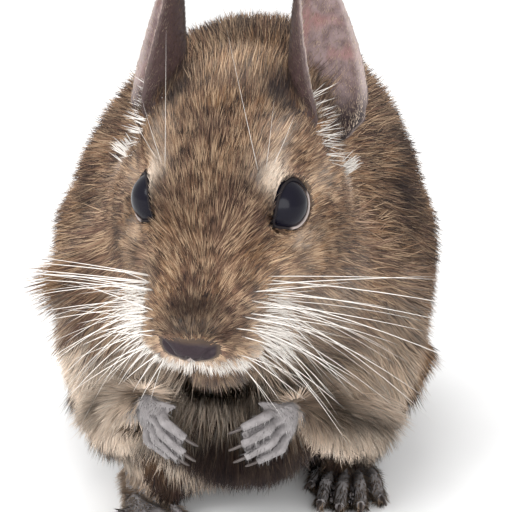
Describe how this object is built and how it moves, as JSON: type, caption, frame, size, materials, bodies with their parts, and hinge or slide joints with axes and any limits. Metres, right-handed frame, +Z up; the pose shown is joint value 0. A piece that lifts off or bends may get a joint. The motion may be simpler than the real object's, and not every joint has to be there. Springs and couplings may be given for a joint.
{
  "type": "degu, life-size still model",
  "caption": "Life-size still model of a degu sitting hunched on its hind feet, forepaws held up under its chin, with agouti coat, whiskers and black-tipped tail.",
  "frame": {"origin": "middle of the flat patch under the rump, on the floor", "axes": "the animal faces -Y, its left side is +X and +Z is up"},
  "size_m": [0.0863, 0.2353, 0.0944],
  "materials": {
    "coat": "agouti fur, matt",
    "pale_coat": "cream fur, matt",
    "ear": "thin bare skin, satin",
    "nose": "moist bare skin",
    "eye": "wet gloss",
    "paw": "grey skin with fine pale hair",
    "claw": "horn, satin",
    "tail": "short dark fur over scaly skin",
    "tail_brush": "black fur"
  },
  "bodies": {
    "root": {"eye_left": "eye", "eye_right": "eye", "nose": "nose", "head": "coat", "ear_left": "ear", "ear_right": "ear", "toe_claw_left_1": "claw", "toe_claw_left_2": "claw", "toe_claw_left_3": "claw", "toe_claw_left_4": "claw", "toe_claw_left_5": "claw", "hind_foot_left": "paw", "toe_claw_right_1": "claw", "toe_claw_right_2": "claw", "toe_claw_right_3": "claw", "toe_claw_right_4": "claw", "toe_claw_right_5": "claw", "hind_foot_right": "paw", "finger_claw_left_1": "claw", "finger_claw_left_2": "claw", "finger_claw_left_3": "claw", "finger_claw_left_4": "claw", "forepaw_left": "paw", "finger_claw_right_1": "claw", "finger_claw_right_2": "claw", "finger_claw_right_3": "claw", "finger_claw_right_4": "claw", "forepaw_right": "paw", "neck": "coat", "shank_left": "coat", "thigh_left": "coat", "upper_arm_left": "coat", "forearm_left": "pale_coat", "shank_right": "coat", "thigh_right": "coat", "upper_arm_right": "coat", "forearm_right": "pale_coat", "trunk": "coat", "tail_base": "tail", "tail_middle": "tail", "tail_brush": "tail_brush"}
  },
  "joints": []
}
